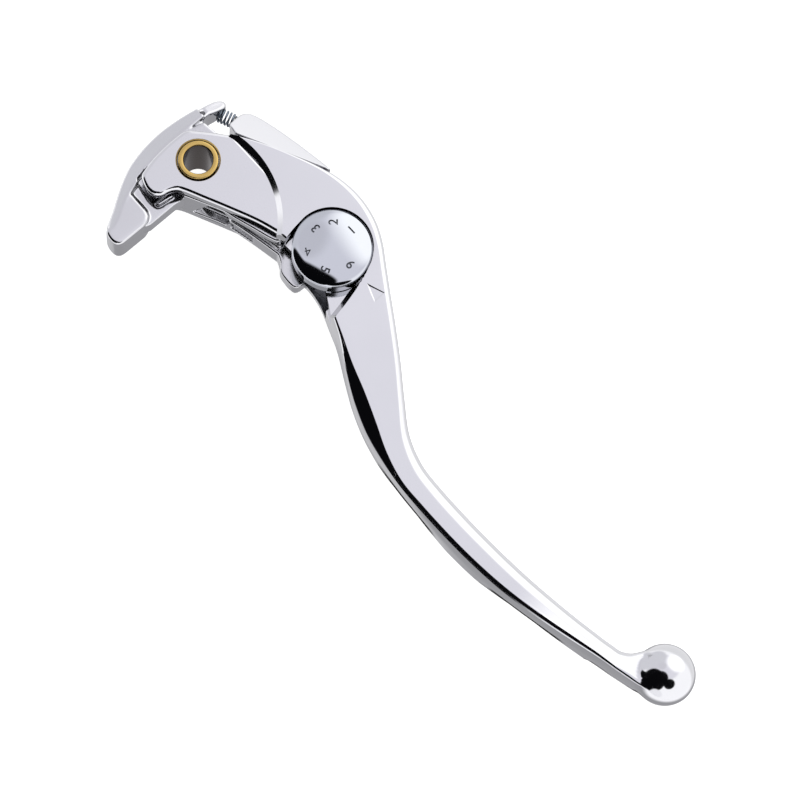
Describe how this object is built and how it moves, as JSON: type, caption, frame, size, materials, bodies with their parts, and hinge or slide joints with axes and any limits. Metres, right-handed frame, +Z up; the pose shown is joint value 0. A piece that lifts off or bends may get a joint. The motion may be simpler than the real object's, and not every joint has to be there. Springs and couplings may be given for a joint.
{
  "type": "motorcycle clutch lever",
  "caption": "Curved hand lever with a ball end, a pivot bush, a spring-loaded knocker that pushes the piston, and a numbered dial that sets its reach.",
  "frame": {"origin": "on the pivot axis, half way up the pivot bush", "axes": "+X from the pivot to the centre of the ball end, +Y towards the side the fingers pull from, +Z up along the pivot axis, the side the dial is on"},
  "size_m": [0.2095, 0.0581, 0.023],
  "materials": {
    "polished_casting": "polished and clear coated",
    "knocker_casting": "tumbled casting",
    "bronze": "turned",
    "spring_steel": "zinc plated",
    "dial_chrome": "mirror",
    "zinc_plated": "zinc plated",
    "rubber": "matt",
    "washer_steel": "zinc plated",
    "clip_steel": "phosphated",
    "bearing_steel": "polished"
  },
  "bodies": {
    "pivot": {"pivot_bush": "bronze"},
    "lever": {"lever_blade": "polished_casting", "take_up_spring": "spring_steel", "thrust_washer": "washer_steel"},
    "knocker": {"knocker": "knocker_casting"},
    "dial": {"adjuster_dial": "dial_chrome", "adjuster_cam": "zinc_plated", "shaft_o_ring": "rubber", "circlip": "clip_steel", "detent_spring": "spring_steel"},
    "detent": {"detent_ball": "bearing_steel"}
  },
  "joints": [
    {"name": "lever_pull", "type": "hinge", "parent": "pivot", "child": "lever", "pos_m": [0, 0, 0], "axis": [0, 0, -1], "range_deg": [0, 16]},
    {"name": "adjuster_turn", "type": "hinge", "parent": "lever", "child": "dial", "pos_m": [0.0427, 0.0106, 0], "axis": [0, 0, 1], "range_deg": [0, 270]},
    {"name": "knocker_reach", "type": "hinge", "parent": "lever", "child": "knocker", "pos_m": [0, 0, 0], "axis": [0, 0, 1], "range_deg": [-4.5, 0], "deforming": ["take_up_spring"]},
    {"name": "detent_press", "type": "slide", "parent": "dial", "child": "detent", "axis": [0, 0, -1], "range_m": [0, 0.0005], "stiffness_N_per_m": 200, "springref_m": 0.0005}
  ],
  "couplings": [
    {"joint": "knocker_reach", "follows": "adjuster_turn", "ratio": -0.0164}
  ]
}
